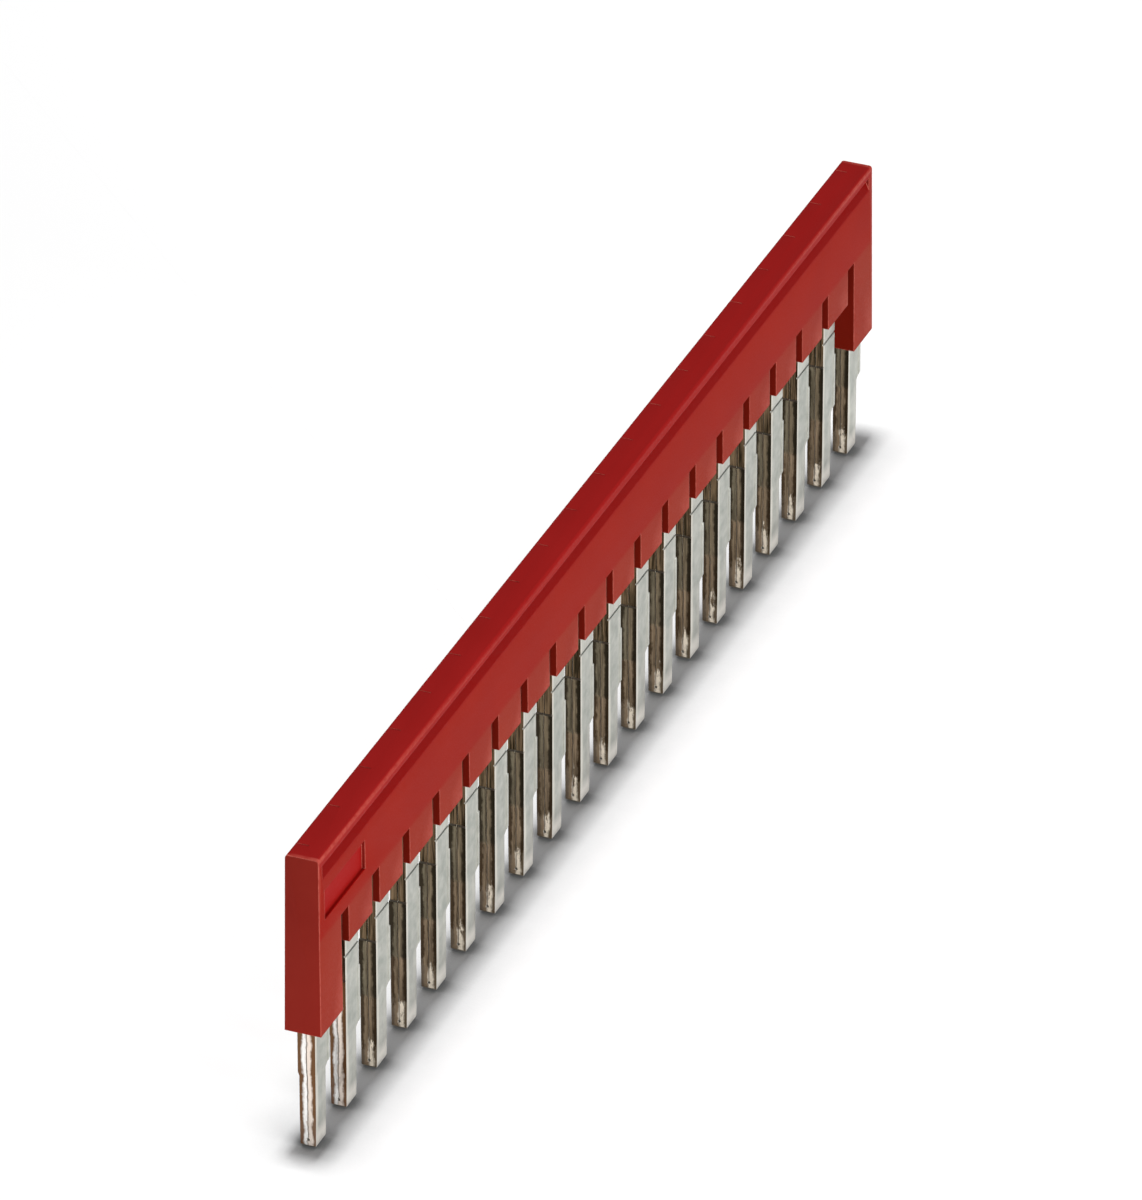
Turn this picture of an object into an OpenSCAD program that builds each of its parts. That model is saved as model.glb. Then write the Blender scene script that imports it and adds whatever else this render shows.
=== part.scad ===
// Plug-in jumper for a row of rail terminals: a folded metal comb in a moulded insulating cap.
// X runs along the row, the side with the marking recess faces -Y, and the pin tips are at Z = 0.

/* [Row] */
// Number of terminals that the jumper bridges
positions = 20; // [3:1:50]
// Distance between neighbouring terminals
pitch = 5.2; // [4.6:0.1:8.2]

/* [Metal strip] */
// Thickness of the metal strip
sheet = 0.56; // [0.4:0.02:0.7]
// Gap between the two layers of a folded pin
seam = 0.04; // [0.02:0.01:0.12]
// Radius of the hollow left inside the fold at the tip
fold_r = 0.1; // [0.08:0.01:0.16]
// Height of the bar that joins the pins inside the cap
spine_h = 4.8; // [3:0.1:5]

/* [Pins] */
// Length of a pin from its tip to the edge of the cap
pin_length = 13.8; // [12.5:0.1:16]
// Width of the neck below the cap
neck_w = 2.26; // [1.5:0.02:2.6]
// How far the collar stands out at each side of the neck
shoulder = 0.1; // [0.05:0.05:0.3]
// Length of the collar
collar_length = 4.25; // [3:0.05:5]
// Width of the raised lip along each edge of the collar
lip_w = 0.25; // [0.2:0.05:0.5]
// Height of the lip above the face of the strip
lip_rise = 0.05; // [0.03:0.01:0.15]
// How far the blade steps in at each side of the collar
blade_step = 0.38; // [0.1:0.02:0.5]
// How far the blade lies off the middle of the collar, towards -X
blade_shift = 0.26; // [0:0.02:0.3]
// Length of the blade below the collar
blade_length = 5.9; // [4:0.1:6.5]
// Bevel across each corner of the tip
tip_bevel = 0.25; // [0.05:0.05:0.3]
// Radius of the folded edge at the tip
nose_r = 0.3; // [0.15:0.05:0.3]
// Height over which the layers taper to the tip
lead_in = 2.6; // [1.5:0.1:3.5]
// How much each layer draws in at the tip
tip_taper = 0.03; // [0:0.01:0.1]
// Height of the bend line above the collar's shoulder
bend_rise = 1.8; // [1:0.05:2.2]
// Depth of the scored bend line
bend_score = 0.1; // [0.04:0.01:0.14]

/* [Cap] */
// Height of the cap's long wall
cap_h = 8.9; // [8.7:0.1:12]
// Thickness of the side walls at the top of the slot
wall = 0.57; // [0.45:0.02:0.9]
// Thickness of the end walls at their foot
end_wall = 0.42; // [0.4:0.01:1.2]
// Thickness of the roof above the metal
roof = 1.2; // [0.9:0.05:1.5]
// How far the end legs reach below the long wall
leg_drop = 4.5; // [2:0.1:6]
// Width of the notches between the positions
notch_w = 1.3; // [0.8:0.1:1.8]
// Height of the notches
notch_h = 2.8; // [1.5:0.1:3.2]
// Draft of the long sides in degrees
side_draft = 0.5; // [0:0.1:1]
// Draft of the ends in degrees
end_draft = 0.7; // [0:0.1:1.2]
// Radius along the top edges
edge_r = 0.22; // [0.1:0.02:0.3]

/* [Lever groove] */
// Height of the rim above the groove
rim_h = 0.7; // [0.35:0.05:0.9]
// Height of the groove
groove_h = 1; // [0.5:0.05:1.2]
// Depth of the groove under the rim
groove_depth = 0.42; // [0.2:0.02:0.44]
// Solid length left at each end of the groove
groove_end = 0.6; // [0.4:0.05:2]

/* [Marking recess] */
// Distance from the end of the cap to the recess
mark_margin = 0.9; // [0.6:0.05:2]
// Length of the recess
mark_length = 6.8; // [3:0.1:10]
// Plain strip left between the groove and the recess
mark_gap = 1.05; // [0.5:0.05:1.5]
// Height of the recess
mark_h = 2.2; // [1.5:0.1:3]
// Depth of the recess
mark_depth = 0.25; // [0.1:0.05:0.35]

/* [Position lines] */
// Length of each line in from the back edge of the top
line_length = 1.0; // [0.5:0.05:1.4]
// Width of each line
line_w = 0.14; // [0.1:0.02:0.3]
// Depth of each line
line_depth = 0.04; // [0.03:0.01:0.15]

/* [Fits] */
// Clearance at each side of the spine in its slot
spine_play = 0.03; // [0.01:0.01:0.08]
// Clearance round the collars inside the cap
collar_play = 0.1; // [0.05:0.01:0.15]

/* [Hidden] */
$fn = 48;
// How far a cutter reaches past the face that it opens
over = 1;

// Metal sizes
pin_t = 2 * sheet + seam;
collar_t = pin_t + 2 * lip_rise;
collar_w = neck_w + 2 * shoulder;
blade_w = collar_w - 2 * blade_step;
nose_half = pin_t / 2 - tip_taper;
shoulder_z = blade_length + collar_length;
bend_z = shoulder_z + bend_rise;

// Cap sizes
top_z = pin_length + cap_h;
leg_z = pin_length - leg_drop;
notch_z = pin_length + notch_h;
slot_z = top_z - roof;
spine_z = slot_z - spine_h;
slot_w = pin_t + 2 * spine_play;
mouth_w = collar_t + 2 * collar_play;
rim_z = top_z - rim_h;
groove_z = rim_z - groove_h;
mark_top = groove_z - mark_gap;
mark_z = mark_top - mark_h;

// Lengths along the row, from the middle
row_half = (positions - 1) * pitch / 2;
comb_half = row_half + collar_w / 2;
slot_half = comb_half + collar_play;
cap_half = slot_half + end_wall;
top_half = cap_half - (top_z - leg_z) * tan(end_draft);
notch_half = row_half - pitch / 2;
window_half = notch_half + notch_w / 2;
pocket_half = row_half - collar_w / 2 - collar_play;

function pin_x(k) = k * pitch - row_half;
// Half the cap's thickness at height z, with the draft of its sides
function cap_side(z) = slot_w / 2 + wall + (top_z - z) * tan(side_draft);

// Lays an outline drawn in X and Z across the thickness of the part
module across(thickness) {
    rotate([90, 0, 0])
        linear_extrude(height = thickness, center = true)
            children();
}

// Runs a section drawn in Y and Z along the row
module along(length) {
    rotate([90, 0, 90])
        linear_extrude(height = length, center = true)
            children();
}

// The waste between a square corner and its arc
module corner_waste(r) {
    difference() {
        square(r + over);
        circle(r);
    }
}

// Front outline of the cap: drafted ends, end legs and a tab over each position
module cap_outline() {
    difference() {
        polygon([[-cap_half, leg_z], [cap_half, leg_z], [top_half, top_z], [-top_half, top_z]]);
        translate([-window_half, leg_z - over])
            square([2 * window_half, leg_drop + over]);
        for (k = [1 : positions - 1])
            translate([pin_x(k) - pitch / 2 - notch_w / 2, pin_length - over])
                square([notch_w, notch_h + over]);
    }
}

// Section of the cap: drafted sides with rounded top edges
module cap_section() {
    difference() {
        polygon([
            [-cap_side(leg_z), leg_z],
            [cap_side(leg_z), leg_z],
            [cap_side(top_z), top_z],
            [-cap_side(top_z), top_z]
        ]);
        for (side = [0, 1])
            mirror([side, 0])
                translate([cap_side(top_z) - edge_r, top_z - edge_r])
                    corner_waste(edge_r);
    }
}

// Section of the slot: a close fit on the spine above a wider mouth for the pins
module slot_section() {
    translate([-slot_w / 2, leg_z - over])
        square([slot_w, slot_z - leg_z + over]);
    translate([-mouth_w / 2, leg_z - over])
        square([mouth_w, notch_z - leg_z + over]);
}

// Front outline of the space for the comb, less the wall that closes the inner side of each leg
module hollow_outline() {
    difference() {
        translate([-slot_half, leg_z - over])
            square([2 * slot_half, slot_z - leg_z + over]);
        for (side = [0, 1])
            mirror([side, 0])
                translate([notch_half, leg_z - 2 * over])
                    square([pocket_half - notch_half, notch_z - leg_z + 2 * over]);
    }
}

// Section of the lever groove: undercut by the rim and sloping out below it
module groove_section() {
    polygon([
        [cap_side(rim_z) - groove_depth, rim_z],
        [cap_side(groove_z), groove_z],
        [cap_side(groove_z) + over, groove_z],
        [cap_side(rim_z) + over, rim_z]
    ]);
}

// Section of the marking recess, with its floor along the drafted side
module recess_section() {
    polygon([
        [cap_side(mark_z) - mark_depth, mark_z],
        [cap_side(mark_top) - mark_depth, mark_top],
        [cap_side(mark_top) + over, mark_top],
        [cap_side(mark_z) + over, mark_z]
    ]);
}

module comb_hollow() {
    intersection() {
        across(2 * mouth_w) hollow_outline();
        along(2 * cap_half) slot_section();
    }
}

module lever_grooves() {
    for (side = [0, 1])
        mirror([0, side, 0])
            along(2 * (top_half - groove_end))
                groove_section();
}

module marking_recess() {
    translate([mark_margin + mark_length / 2 - top_half, 0, 0])
        mirror([0, 1, 0])
            along(mark_length)
                recess_section();
}

module position_lines() {
    for (k = [0 : positions - 1])
        translate([pin_x(k) - line_w / 2, cap_side(top_z) - line_length, top_z - line_depth])
            cube([line_w, line_length + over, line_depth + over]);
}

// Widths of one pin from the neck to the bevelled tip: where the middle lies, half the width, the height
function pin_levels() = [
    [0, neck_w / 2, spine_z],
    [0, neck_w / 2, shoulder_z],
    [0, collar_w / 2, shoulder_z - shoulder],
    [0, collar_w / 2, blade_length],
    [-blade_shift, blade_w / 2, blade_length - blade_step],
    [-blade_shift, blade_w / 2, tip_bevel],
    [-blade_shift, blade_w / 2 - tip_bevel, 0]
];

// Front outline of the pin at x, down one side and up the other
function pin_outline(x) = let (levels = pin_levels(), last = len(levels) - 1) concat(
    [for (l = levels) [x + l[0] - l[1], l[2]]],
    [for (i = [last : -1 : 0]) [x + levels[i][0] + levels[i][1], levels[i][2]]]
);

// Front outline of the whole comb, cut from one strip
module comb_outline() {
    polygon(concat(
        [[-comb_half, slot_z], [-comb_half, spine_z]],
        [for (k = [0 : positions - 1]) each pin_outline(pin_x(k))],
        [[comb_half, spine_z], [comb_half, slot_z]]
    ));
}

// A band between two heights, half as wide at each height as the two given half widths
module band(low_z, low_half, high_z, high_half) {
    polygon([[-low_half, low_z], [low_half, low_z], [high_half, high_z], [-high_half, high_z]]);
}

// Outside of the folded strip: scored neck, straight pin, tapered end and a nose with rounded edges
module fold_outside() {
    band(bend_z + bend_score, pin_t / 2, slot_z, pin_t / 2);
    band(bend_z, pin_t / 2 - bend_score, bend_z + bend_score, pin_t / 2);
    band(bend_z - bend_score, pin_t / 2, bend_z, pin_t / 2 - bend_score);
    band(lead_in, pin_t / 2, bend_z - bend_score, pin_t / 2);
    band(nose_r, nose_half, lead_in, pin_t / 2);
    band(0, nose_half - nose_r, nose_r, nose_half - nose_r);
    for (side = [-1, 1])
        translate([side * (nose_half - nose_r), nose_r])
            circle(nose_r);
}

// Inside of the fold: the hollow at the bend and the seam between the layers
module fold_inside() {
    translate([0, sheet + fold_r])
        circle(fold_r);
    band(sheet + fold_r, seam / 2, slot_z + over, seam / 2);
}

// Section through the lips, which slope back to the strip at both ends of the collar
module lip_section() {
    band(blade_length - blade_step, pin_t / 2, blade_length, collar_t / 2);
    band(blade_length, collar_t / 2, shoulder_z - shoulder, collar_t / 2);
    band(shoulder_z - shoulder, collar_t / 2, shoulder_z, pin_t / 2);
}

// A folded section cut to the outline of the comb
module folded(thickness) {
    intersection() {
        across(thickness + over) comb_outline();
        along(2 * (comb_half + over))
            difference() {
                children();
                fold_inside();
            }
    }
}

// Lips along both edges of each collar, on both faces of the strip
module collar_lips() {
    intersection() {
        folded(collar_t) lip_section();
        for (k = [0 : positions - 1])
            for (side = [0, 1])
                translate([pin_x(k), 0, 0])
                    mirror([side, 0, 0])
                        translate([collar_w / 2 - lip_w, -collar_t, 0])
                            cube([lip_w + over, 2 * collar_t, shoulder_z + over]);
    }
}

module insulating_cap() {
    color([0.66, 0.2, 0.18])
        difference() {
            intersection() {
                across(2 * (cap_side(leg_z) + over)) cap_outline();
                along(2 * (cap_half + over)) cap_section();
            }
            comb_hollow();
            lever_grooves();
            marking_recess();
            position_lines();
        }
}

module contact_comb() {
    color([0.78, 0.78, 0.75]) {
        folded(pin_t) fold_outside();
        collar_lips();
    }
}

insulating_cap();
contact_comb();
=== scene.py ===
"""Looks for the plug-in terminal jumper: a red moulded cap on a comb of folded, tin-plated pins."""

import math

import bpy
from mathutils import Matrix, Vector


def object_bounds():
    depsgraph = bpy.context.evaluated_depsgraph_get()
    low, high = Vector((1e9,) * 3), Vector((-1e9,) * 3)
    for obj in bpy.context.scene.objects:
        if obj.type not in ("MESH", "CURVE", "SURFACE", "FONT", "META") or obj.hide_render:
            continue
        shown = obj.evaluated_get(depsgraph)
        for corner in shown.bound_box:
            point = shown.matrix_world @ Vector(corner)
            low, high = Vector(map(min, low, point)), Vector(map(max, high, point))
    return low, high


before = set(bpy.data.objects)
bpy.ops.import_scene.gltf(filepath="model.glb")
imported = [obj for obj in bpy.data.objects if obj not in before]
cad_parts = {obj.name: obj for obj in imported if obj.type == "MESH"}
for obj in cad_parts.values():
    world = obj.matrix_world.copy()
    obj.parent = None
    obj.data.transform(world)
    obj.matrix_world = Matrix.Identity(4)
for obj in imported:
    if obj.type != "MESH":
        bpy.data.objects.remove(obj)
cad_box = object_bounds()

MM = 0.001

# Camera, placed by its direction from the middle of the jumper
CAMERA_AZIMUTH = math.radians(-68.15)
CAMERA_ELEVATION = math.radians(30.53)
CAMERA_DISTANCE = 817.7 * MM
CAMERA_TARGET = Vector((0.35, 1.76, 13.66)) * MM
CAMERA_LENS = 357.0
CAMERA_SENSOR = 36.0

# Lamps: place, width, height and power
LAMPS = {
    "top_light": (Vector((0, 0.012, 0.9)), 0.08, 0.09, 6.6),
    "wide_light": (Vector((0, 0.09, 0.9)), 0.15, 0.15, 0.9),
    "front_light": (Vector((-0.35, -0.93, 0.13)), 0.7, 0.24, 9.2),
}

# Stage, with a painted contact shadow: the floor is darker where little of the space above it is open
WHITE = (1, 1, 1, 1)
WORLD_LIGHT = 0.2
FLOOR_SIZE = 8.0
FLOOR_LIFT = 0.03
FLOOR_COLOUR = (0.84, 0.84, 0.84, 1)
FLOOR_SHADE = (0.22, 0.225, 0.23, 1)
CONTACT_REACH = 5.0 * MM
CONTACT_RANGE = (0.97, 0.55)

# Softened edges: a small bevel on the mesh and a wider one in the shading
CAP_BEVEL = 0.04 * MM
CAP_ROUND = 0.1 * MM
COMB_BEVEL = 0.03 * MM
COMB_ROUND = 0.05 * MM
BEVEL_SEGMENTS = 3
BEVEL_ANGLE = math.radians(20)
WELD_DISTANCE = 0.002 * MM
FLAT_ANGLE = math.radians(0.5)
ROUND_SAMPLES = 6
SHADE_SAMPLES = 8

# Places on the cap, as in its source
RIM_FOOT = 22.0 * MM
GROOVE_FOOT = 21.0 * MM
GROOVE_HALF = 50.39 * MM
NOTCH_TOP = 16.6 * MM
END_INSIDE = 50.6 * MM
MARK_RANGE_X = (-50.09 * MM, -43.29 * MM)
MARK_RANGE_Z = (17.75 * MM, 19.95 * MM)

# Places on the comb, as in its source
PITCH = 5.2 * MM
FIRST_PIN = -49.4 * MM
STEP_LOW = 5.52 * MM
STEP_HIGH = 5.9 * MM
SHOULDER = 10.15 * MM
BEND = 11.95 * MM
BLADE_HALF = 0.85 * MM
BLADE_SHIFT = 0.26 * MM
COLLAR_HALF = 1.23 * MM
COLLAR_DEPTH = 0.63 * MM

# How far two colours run into each other
SHARP = 0.03 * MM
FINE = 0.05 * MM
SOFT = 0.1 * MM
WIDE = 0.15 * MM
GROOVE_FADE = (GROOVE_FOOT - 0.25 * MM, GROOVE_FOOT + SOFT)

# Which way a face looks: limits of one part of its normal
LOOKS_ALONG_ROW = (0.4, 0.7)
LOOKS_FORWARD = (-0.3, -0.6)
LOOKS_UP = (0.6, 0.85)
CROWN_LOOKS_UP = (0.25, 0.5)
LEVEL = (0.3, 0.6)
EDGE_STARTS = (0.08, 0.3)
EDGE_ENDS = (0.98, 0.88)

# Noise: scale, detail and roughness
CLOUDS = (180, 3)
GRAIN = (9000, 2)
SCUFFS = (2500, 3, 0.6)
BLOTCHES = (1100, 4, 0.6)

# Stretched noise: scale along each axis, detail and roughness
STREAKS = ((9000, 9000, 350), 4, 0.6)
BURRS = ((1800, 1800, 1300), 3, 0.65)
BRUSHING = ((14000, 14000, 500), 2)
PATCHES = ((4200, 4200, 1100), 4, 0.7)

# What a number turns into: from low, from high and, unless it turns into 0 to 1, to low, to high
CLOUD_AMOUNT = (0.3, 0.7, 0.25, 0)
HOLLOW_AMOUNT = (0.9, 0.4, 0, 0.7)
WEAR_AND_GLINT_AMOUNT = (0.3, 0.6, 0.4, 1)
BLOTCH_AMOUNT = (0.3, 0.7)
STREAK_AMOUNT = (0.38, 0.6, 0.55, 0)
NECK_AMOUNT = (0.4, 0.6)
BURR_WAVE = (0.3, 0.7, -0.09 * MM, 0.09 * MM)
TIP_WAVE = (0.3, 0.7, -1.1 * MM, 1.1 * MM)
CAP_ROUGHNESS = (0.3, 0.7, 0.42, 0.56)
TIN_ROUGHNESS = (0.3, 0.7, 0.34, 0.5)
TIN_METALLIC = (0, 1, 1, 0.15)

# Zones of the pins, in the same form. The glows are painted highlights on the tin faces, and the bright pins
# get a painted reflection on their cut edges.
LEFT_GLOW = (0.5 * MM, 0.25 * MM, 0, 0.75)
RIGHT_GLOW = (0.7 * MM, 0.4 * MM, 0, 0.2)
NECK_GLOW = (BEND - FINE, BEND + FINE, 0, 0.25)
BLADE_GLOW = (STEP_HIGH, STEP_LOW - 2 * MM, 0, 0.15)
TIP_GLOW = (1.9 * MM, 0.9 * MM, 0, 0.9)
TIP_FACE = (1.9 * MM, 0.7 * MM, 0, 0.35)
TIP_SIDE = (2.2 * MM, 1.7 * MM)
CUT_EDGE = (0.3 * MM, 0.5 * MM)
LIT_PINS_END = FIRST_PIN + 1.5 * PITCH
LIT_PINS_BLUR = 0.1 * PITCH

# Bands across a cut edge: outer edge, front layer twice, seam, back layer twice, outer edge
BAND_PLACES = (-0.40 * MM, -0.24 * MM, -0.08 * MM, 0.0, 0.10 * MM, 0.22 * MM, 0.38 * MM)
SEAM_SHADE = 0.6

# Fine relief and shine
# How far the painted shade in the cap's hollows reaches
HOLLOW_REACH = 0.8 * MM
GRAIN_DEPTH = 0.01 * MM
GRAIN_STRENGTH = 0.5
BRUSH_DEPTH = 0.004 * MM
BRUSH_STRENGTH = 0.4
CAP_SPECULAR = 0.017

# Colours of the cap, as linear values. The rim, top, ledge and end reds are painted light: lit and shaded
# copies of one red. The groove, notch and shade reds are painted shade, and the worn red is both wear and a
# painted edge highlight.
RED = (0.25, 0.0098, 0.004, 1)
RED_TABS = (0.247, 0.0232, 0.0113, 1)
RED_RIM_HIGHLIGHT = (0.275, 0.0145, 0.0125, 1)
RED_GROOVE_SHADE = (0.212, 0.0029, 0.002, 1)
RED_TOP_SHADED = (0.227, 0.0085, 0.008, 1)
RED_LEDGE_LIT = (0.55, 0.012, 0.01, 1)
RED_END_LIT = (0.28, 0.0235, 0.0155, 1)
RED_NOTCH_SHADE = (0.155, 0.008, 0.003, 1)
RED_MARK = (0.29, 0.0068, 0.0062, 1)
RED_DEEP = (0.18, 0.005, 0.004, 1)
RED_SHADE = (0.17, 0.004, 0.003, 1)
RED_WORN_AND_GLINT = (0.52, 0.12, 0.09, 1)

# Colours of the comb, as linear values. The tin highlights, the bright tip front, the end-pin colours and
# the dark neck are painted light and shade.
TIN = (0.51, 0.52, 0.475, 1)
TIN_DULL = (0.335, 0.355, 0.318, 1)
TIN_HIGHLIGHT = (0.76, 0.73, 0.65, 1)
TIN_TIP_HIGHLIGHT = (0.94, 0.90, 0.83, 1)
LEDGE = (0.26, 0.23, 0.18, 1)
COLLAR_DARK = (0.035, 0.027, 0.016, 1)
COLLAR_FRONT = (0.25, 0.195, 0.125, 1)
COLLAR_BACK = (0.235, 0.20, 0.135, 1)
BLADE_DARK = (0.08, 0.05, 0.027, 1)
BLADE_FRONT = (0.35, 0.255, 0.165, 1)
BLADE_BACK = (0.40, 0.295, 0.19, 1)
TIP_DARK = (0.12, 0.085, 0.05, 1)
TIP_FRONT_HIGHLIGHT = (1.0, 0.88, 0.71, 1)
TIP_BACK = (0.24, 0.17, 0.105, 1)
NECK_SHADE = (0.03, 0.021, 0.01, 1)
NECK_SIDE = (0.24, 0.165, 0.095, 1)
LIT_END_DARK = (0.17, 0.085, 0.04, 1)
LIT_END_FRONT = (0.92, 0.80, 0.70, 1)
LIT_END_BACK = (0.97, 0.96, 0.93, 1)


class Finish:
    """A material under construction. Its parts take sockets or plain values and give sockets back."""

    def __init__(self, name):
        self.material = bpy.data.materials.new(name)
        self.material.use_nodes = True
        self.tree = self.material.node_tree
        self.tree.nodes.clear()

    def add(self, kind, **settings):
        """A new node with some of its settings."""
        node = self.tree.nodes.new(kind)
        for name, value in settings.items():
            setattr(node, name, value)
        return node

    def feed(self, socket, source):
        """Links a socket to an input, or writes a plain value into it."""
        if isinstance(source, bpy.types.NodeSocket):
            self.tree.links.new(source, socket)
        else:
            socket.default_value = source

    def feed_all(self, node, settings):
        """Feeds several inputs of a node by their names."""
        for name, value in settings.items():
            self.feed(node.inputs[name], value)

    def parts(self, vector):
        """The X, Y and Z of a vector."""
        node = self.add("ShaderNodeSeparateXYZ")
        self.feed(node.inputs["Vector"], vector)
        return [node.outputs[axis] for axis in "XYZ"]

    def noise(self, vector, scale, detail, roughness=0.5):
        """Noise of a given scale on a vector."""
        node = self.add("ShaderNodeTexNoise")
        self.feed_all(node, {"Vector": vector, "Scale": scale, "Detail": detail, "Roughness": roughness})
        return node.outputs["Fac"]

    def stretched_noise(self, vector, scale, detail, roughness=0.5):
        """Noise with a different scale along each axis."""
        node = self.add("ShaderNodeMapping")
        self.feed_all(node, {"Vector": vector, "Scale": scale})
        return self.noise(node.outputs["Vector"], 1, detail, roughness)

    def math(self, operation, *sources):
        """The result of an operation on numbers."""
        node = self.add("ShaderNodeMath", operation=operation)
        for socket, source in zip(node.inputs, sources):
            self.feed(socket, source)
        return node.outputs["Value"]

    def ramp(self, factor, low, high, out_low=0.0, out_high=1.0):
        """A number that goes from one to another as a factor goes from low to high."""
        node = self.add("ShaderNodeMapRange")
        self.feed_all(node, {"Value": factor, "From Min": low, "From Max": high})
        self.feed_all(node, {"To Min": out_low, "To Max": out_high})
        return node.outputs["Result"]

    def above(self, value, place, blur):
        """Zero below a place and one above it, with a blurred border."""
        return self.ramp(value, place - blur, place + blur)

    def below(self, value, place, blur):
        """One below a place and zero above it, with a blurred border."""
        return self.ramp(value, place + blur, place - blur)

    def within(self, value, limits, blur):
        """One where a number lies between two limits and zero elsewhere, with blurred ends."""
        first = self.ramp(value, limits[0], limits[0] + blur)
        return self.math("MULTIPLY", first, self.ramp(value, limits[1], limits[1] - blur))

    def mix(self, factor, first, second):
        """A mix of two colours."""
        node = self.add("ShaderNodeMix", data_type="RGBA")
        inputs = [socket for socket in node.inputs if socket.enabled]
        for socket, source in zip(inputs, (factor, first, second)):
            self.feed(socket, source)
        return next(socket for socket in node.outputs if socket.enabled)

    def bands(self, factor, low, high, stops):
        """Colours that follow each other as a factor goes from low to high, by stops of place and colour."""
        node = self.add("ShaderNodeValToRGB")
        self.feed(node.inputs["Fac"], self.ramp(factor, low, high))
        elements = node.color_ramp.elements
        while len(elements) < len(stops):
            elements.new(0.5)
        for element, (place, colour) in zip(elements, stops):
            element.position = (place - low) / (high - low)
            element.color = colour
        return node.outputs["Color"]

    def rounded(self, radius):
        """Normals that run round the edges with a given radius."""
        node = self.add("ShaderNodeBevel", samples=ROUND_SAMPLES)
        self.feed(node.inputs["Radius"], radius)
        return node.outputs["Normal"]

    def bump(self, height, depth, strength, normal):
        """A bump of a given depth over given normals."""
        node = self.add("ShaderNodeBump")
        self.feed_all(node, {"Height": height, "Distance": depth, "Strength": strength, "Normal": normal})
        return node.outputs["Normal"]

    def openness(self, reach, only_local):
        """How open a spot is: low in hollows of its own solid, or also close to other solids."""
        node = self.add("ShaderNodeAmbientOcclusion", samples=SHADE_SAMPLES, only_local=only_local)
        self.feed(node.inputs["Distance"], reach)
        return node.outputs["AO"]

    def surface(self, **settings):
        """The shader of a solid surface, sent to the output."""
        node = self.add("ShaderNodeBsdfPrincipled")
        for name, value in settings.items():
            self.feed(node.inputs[name.replace("_", " ")], value)
        self.output(node.outputs["BSDF"])

    def output(self, shader):
        """Sends a shader to the material's output."""
        node = self.add("ShaderNodeOutputMaterial")
        self.feed(node.inputs["Surface"], shader)


def cap_colour(finish, spot, facing):
    """Red by the place and direction of a face: wall, tabs, recess, groove, rim, top, ends and notches, with
    painted light and shade: painted shade in the groove and on the notch sides, a painted highlight on the
    rim, a shaded copy of the red on the top and lit copies on the up-facing ledges and the ends.
    """
    x = finish.math("ABSOLUTE", spot[0])
    z = spot[2]
    end_on = finish.ramp(finish.math("ABSOLUTE", facing[0]), *LOOKS_ALONG_ROW)
    on_tabs = finish.below(z, NOTCH_TOP, WIDE)
    below_rim = finish.ramp(z, *GROOVE_FADE)
    along_groove = finish.below(x, GROOVE_HALF, FINE)
    above_groove = finish.above(z, RIM_FOOT, SHARP)
    inside = finish.math("MULTIPLY", end_on, finish.ramp(x, END_INSIDE + SOFT, END_INSIDE))
    in_notch = finish.math("MULTIPLY", inside, on_tabs)
    beside_end = finish.within(spot[0], MARK_RANGE_X, SOFT)
    in_mark = finish.math("MULTIPLY", beside_end, finish.within(z, MARK_RANGE_Z, SOFT))
    in_mark = finish.math("MULTIPLY", in_mark, finish.ramp(facing[1], *LOOKS_FORWARD))

    colour = finish.mix(on_tabs, RED, RED_TABS)
    colour = finish.mix(in_mark, colour, RED_MARK)
    # Painted light: up-facing ledges below the rim get a lit copy of the red
    colour = finish.mix(finish.ramp(facing[2], *LOOKS_UP), colour, RED_LEDGE_LIT)
    # Painted shade in the groove below the rim
    colour = finish.mix(finish.math("MULTIPLY", below_rim, along_groove), colour, RED_GROOVE_SHADE)
    # Painted light on the crown: a painted highlight on the rim band and a shaded copy of the red on the top
    crown = finish.mix(finish.ramp(facing[2], *CROWN_LOOKS_UP), RED_RIM_HIGHLIGHT, RED_TOP_SHADED)
    colour = finish.mix(above_groove, colour, crown)
    # Painted light: the end faces get a lit copy of the red
    colour = finish.mix(end_on, colour, RED_END_LIT)
    # Painted shade on the sides of the notches
    return finish.mix(in_notch, colour, RED_NOTCH_SHADE)


def worn_and_glinting_edges(finish, spot, facing, rounded, scuffs):
    """How worn and glinting a spot is: wear and a painted edge highlight, only along the edges of the ends
    and of the notches, in patches.
    """
    bent = finish.math("ABSOLUTE", finish.parts(rounded)[0])
    edge = finish.math("MULTIPLY", finish.ramp(bent, *EDGE_STARTS), finish.ramp(bent, *EDGE_ENDS))
    near_end = finish.ramp(finish.math("ABSOLUTE", spot[0]), END_INSIDE, END_INSIDE + SOFT)
    below_top = finish.ramp(facing[2], *reversed(LOOKS_UP))
    edge = finish.math("MULTIPLY", edge, finish.math("MAXIMUM", near_end, below_top))
    return finish.math("MULTIPLY", edge, finish.ramp(scuffs, *WEAR_AND_GLINT_AMOUNT))


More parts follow.
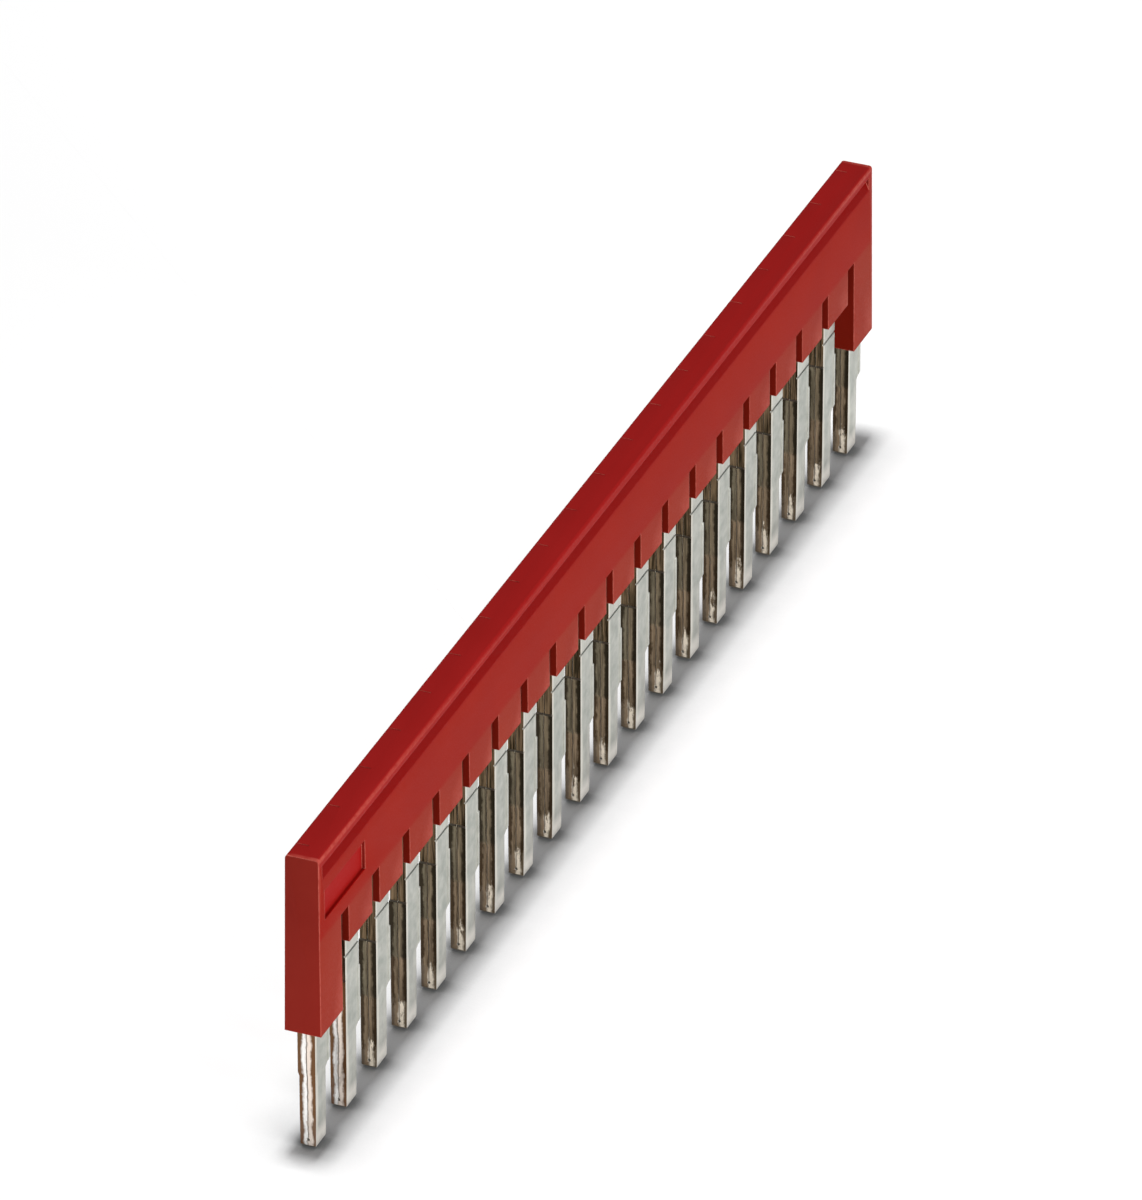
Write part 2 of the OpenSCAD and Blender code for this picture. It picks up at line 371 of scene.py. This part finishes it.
def red_plastic():
    """Satin moulded plastic: fine grain, faint clouds, painted shade in its hollows, worn and with a painted
    edge highlight along its end edges.
    """
    finish = Finish("red_plastic")
    coordinates = finish.add("ShaderNodeTexCoord").outputs
    place = coordinates["Object"]
    spot = finish.parts(place)
    facing = finish.parts(coordinates["Normal"])
    rounded = finish.rounded(CAP_ROUND)
    clouds = finish.noise(place, *CLOUDS)
    grain = finish.noise(place, *GRAIN)
    scuffs = finish.noise(place, *SCUFFS)

    colour = cap_colour(finish, spot, facing)
    colour = finish.mix(finish.ramp(clouds, *CLOUD_AMOUNT), colour, RED_DEEP)
    # Painted shade in the hollows, from how open each spot is
    hollow = finish.ramp(finish.openness(HOLLOW_REACH, True), *HOLLOW_AMOUNT)
    colour = finish.mix(hollow, colour, RED_SHADE)
    # Wear and a painted highlight along the edges of the ends and the notches
    colour = finish.mix(worn_and_glinting_edges(finish, spot, facing, rounded, scuffs), colour, RED_WORN_AND_GLINT)
    finish.surface(
        Base_Color=colour,
        Roughness=finish.ramp(grain, *CAP_ROUGHNESS),
        Specular_IOR_Level=CAP_SPECULAR,
        Normal=finish.bump(grain, GRAIN_DEPTH, GRAIN_STRENGTH, rounded),
    )
    return finish.material


def face_colour(finish, place, from_left, from_right, z):
    """Grey tin, with painted highlights along the edges of each pin, above the bend line and towards the
    tip.
    """
    blotches = finish.noise(place, *BLOTCHES)
    grey = finish.mix(finish.ramp(blotches, *BLOTCH_AMOUNT), TIN_DULL, TIN)
    # Painted highlights along both edges of each pin, above the bend line and, lower down, towards the tip
    edges = finish.math("MAXIMUM", finish.ramp(from_left, *LEFT_GLOW), finish.ramp(from_right, *RIGHT_GLOW))
    bright = finish.math("MAXIMUM", edges, finish.ramp(z, *NECK_GLOW))
    low = finish.math("MAXIMUM", finish.ramp(z, *BLADE_GLOW), finish.ramp(z, *TIP_GLOW))
    return finish.mix(low, finish.mix(bright, grey, TIN_HIGHLIGHT), TIN_TIP_HIGHLIGHT)


def layer_bands(finish, y, dark, front, back):
    """The two layers of a cut edge from front to back, with a darker seam and dark outer edges."""
    seam = [SEAM_SHADE * value for value in front[:3]] + [1]
    colours = (dark, front, front, seam, back, back, dark)
    return finish.bands(y, -COLLAR_DEPTH, COLLAR_DEPTH, list(zip(BAND_PLACES, colours)))


def side_colour(finish, place, x, y, z, at_tip):
    """Bare cut edges: two layers with dark burrs, streaked by the stamping, with a painted highlight at the
    tip, painted shade on the neck and a painted reflection on the first two pins.
    """
    streaks = finish.stretched_noise(place, *STREAKS)
    burrs = finish.stretched_noise(place, *BURRS)
    wavy = finish.math("ADD", y, finish.ramp(burrs, *BURR_WAVE))
    on_collar = finish.ramp(z, STEP_LOW, STEP_HIGH)
    on_neck = finish.above(z, SHOULDER, FINE)
    lit_first_pins = finish.below(x, LIT_PINS_END, LIT_PINS_BLUR)

    blade = layer_bands(finish, wavy, BLADE_DARK, BLADE_FRONT, BLADE_BACK)
    collar = layer_bands(finish, wavy, COLLAR_DARK, COLLAR_FRONT, COLLAR_BACK)
    colour = finish.mix(on_collar, blade, collar)
    colour = finish.mix(finish.ramp(streaks, *STREAK_AMOUNT), colour, COLLAR_DARK)
    # Painted highlight on the cut edges near the tip, over the real layer bands
    colour = finish.mix(at_tip, colour, layer_bands(finish, wavy, TIP_DARK, TIP_FRONT_HIGHLIGHT, TIP_BACK))
    # Painted reflection: the cut edges of the first two pins are painted brighter
    colour = finish.mix(lit_first_pins, colour, layer_bands(finish, wavy, LIT_END_DARK, LIT_END_FRONT, LIT_END_BACK))
    # Painted shade on the neck sides under the cap, broken by lighter stamping streaks
    neck = finish.mix(finish.ramp(streaks, *NECK_AMOUNT), NECK_SHADE, NECK_SIDE)
    return finish.mix(on_neck, colour, neck)


def tin_plate():
    """Tin plate on the strip's faces, and bare metal with burrs and stamping streaks on its cut edges."""
    finish = Finish("tin_plate")
    coordinates = finish.add("ShaderNodeTexCoord").outputs
    place = coordinates["Object"]
    x, y, z = finish.parts(place)
    facing = finish.parts(coordinates["Normal"])
    brushing = finish.stretched_noise(place, *BRUSHING)
    patches = finish.stretched_noise(place, *PATCHES)

    across = finish.math("WRAP", finish.math("SUBTRACT", x, FIRST_PIN), PITCH / 2, -PITCH / 2)
    half = finish.ramp(z, STEP_LOW, STEP_HIGH, BLADE_HALF, COLLAR_HALF)
    middle = finish.ramp(z, STEP_LOW, STEP_HIGH, -BLADE_SHIFT, 0)
    offset = finish.math("SUBTRACT", across, middle)
    from_left = finish.math("ADD", half, offset)
    from_right = finish.math("SUBTRACT", half, offset)
    cut = finish.ramp(finish.math("MULTIPLY", across, facing[0]), *CUT_EDGE)
    level = finish.ramp(finish.math("ABSOLUTE", facing[2]), *LEVEL)
    ragged = finish.math("ADD", z, finish.ramp(patches, *TIP_WAVE))
    at_tip = finish.ramp(ragged, *TIP_SIDE)

    face = face_colour(finish, place, from_left, from_right, z)
    side = finish.mix(level, side_colour(finish, place, x, y, z, at_tip), LEDGE)
    bare_side = finish.math("MULTIPLY", cut, at_tip)
    bare = finish.math("MAXIMUM", finish.ramp(z, *TIP_FACE), bare_side)
    finish.surface(
        Base_Color=finish.mix(cut, face, side),
        Metallic=finish.ramp(bare, *TIN_METALLIC),
        Roughness=finish.ramp(brushing, *TIN_ROUGHNESS),
        Normal=finish.bump(brushing, BRUSH_DEPTH, BRUSH_STRENGTH, finish.rounded(COMB_ROUND)),
    )
    return finish.material


def floor_paint():
    """Pale floor that shows as white where nothing shades it, with a painted contact shadow close to the
    tips.
    """
    finish = Finish("floor_paint")
    path = finish.add("ShaderNodeLightPath").outputs
    seen = finish.math("MAXIMUM", path["Is Camera Ray"], path["Is Glossy Ray"])
    seen = finish.math("MAXIMUM", seen, path["Is Transmission Ray"])
    diffuse = finish.add("ShaderNodeBsdfDiffuse")
    # Painted contact shadow: the floor colour darkens where the space above it is closed
    contact = finish.ramp(finish.openness(CONTACT_REACH, False), *CONTACT_RANGE)
    finish.feed(diffuse.inputs["Color"], finish.mix(contact, FLOOR_COLOUR, FLOOR_SHADE))
    lift = finish.add("ShaderNodeEmission")
    finish.feed(lift.inputs["Strength"], finish.math("MULTIPLY", seen, FLOOR_LIFT))
    both = finish.add("ShaderNodeAddShader")
    finish.feed(both.inputs[0], diffuse.outputs["BSDF"])
    finish.feed(both.inputs[1], lift.outputs["Emission"])
    finish.output(both.outputs["Shader"])
    return finish.material


def soften(piece, width):
    """Welds the loaded mesh, joins its flat faces and rounds its edges."""
    weld = piece.modifiers.new("weld", "WELD")
    weld.merge_threshold = WELD_DISTANCE
    flatten = piece.modifiers.new("flatten", "DECIMATE")
    flatten.decimate_type = "DISSOLVE"
    flatten.angle_limit = FLAT_ANGLE
    bevel = piece.modifiers.new("bevel", "BEVEL")
    bevel.width = width
    bevel.segments = BEVEL_SEGMENTS
    bevel.limit_method = "ANGLE"
    bevel.angle_limit = BEVEL_ANGLE
    bevel.harden_normals = True
    bevel.loop_slide = False
    for polygon in piece.data.polygons:
        polygon.use_smooth = True


def dress(name, material, width):
    """Gives a solid its finish and its softened edges."""
    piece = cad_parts[name]
    piece.data.materials.clear()
    piece.data.materials.append(material)
    soften(piece, width)


def make_floor():
    """A wide plain floor at the pin tips."""
    bpy.ops.mesh.primitive_plane_add(size=FLOOR_SIZE, location=(0, 0, cad_box[0].z))
    floor = bpy.context.object
    floor.name = "floor"
    floor.data.materials.append(floor_paint())


def area_light(name, place, width, height, power):
    """A soft lamp that faces the middle of the jumper."""
    data = bpy.data.lights.new(name, "AREA")
    data.shape = "RECTANGLE"
    data.size = width
    data.size_y = height
    data.energy = power
    lamp = bpy.data.objects.new(name, data)
    lamp.location = place
    lamp.rotation_euler = (CAMERA_TARGET - lamp.location).to_track_quat("-Z", "Y").to_euler()
    bpy.context.scene.collection.objects.link(lamp)


def make_world():
    """An even surround that fills the shadows a little."""
    world = bpy.data.worlds.new("surround")
    bpy.context.scene.world = world
    world.use_nodes = True
    tree = world.node_tree
    tree.nodes.clear()
    background = tree.nodes.new("ShaderNodeBackground")
    background.inputs["Color"].default_value = WHITE
    background.inputs["Strength"].default_value = WORLD_LIGHT
    output = tree.nodes.new("ShaderNodeOutputWorld")
    tree.links.new(background.outputs["Background"], output.inputs["Surface"])


def make_camera():
    """The camera at the photograph's angle, with a long lens."""
    data = bpy.data.cameras.new("camera")
    data.lens = CAMERA_LENS
    data.sensor_width = CAMERA_SENSOR
    camera = bpy.data.objects.new("camera", data)
    back = Vector((
        math.sin(CAMERA_AZIMUTH) * math.cos(CAMERA_ELEVATION),
        -math.cos(CAMERA_AZIMUTH) * math.cos(CAMERA_ELEVATION),
        math.sin(CAMERA_ELEVATION),
    ))
    camera.location = CAMERA_TARGET + back * CAMERA_DISTANCE
    camera.rotation_euler = (-back).to_track_quat("-Z", "Y").to_euler()
    bpy.context.scene.collection.objects.link(camera)
    bpy.context.scene.camera = camera


dress("insulating_cap", red_plastic(), CAP_BEVEL)
dress("contact_comb", tin_plate(), COMB_BEVEL)
make_floor()
make_world()
for lamp_name, lamp_settings in LAMPS.items():
    area_light(lamp_name, *lamp_settings)
make_camera()
bpy.context.scene.view_settings.view_transform = "Standard"
bpy.context.scene.cycles.caustics_reflective = False
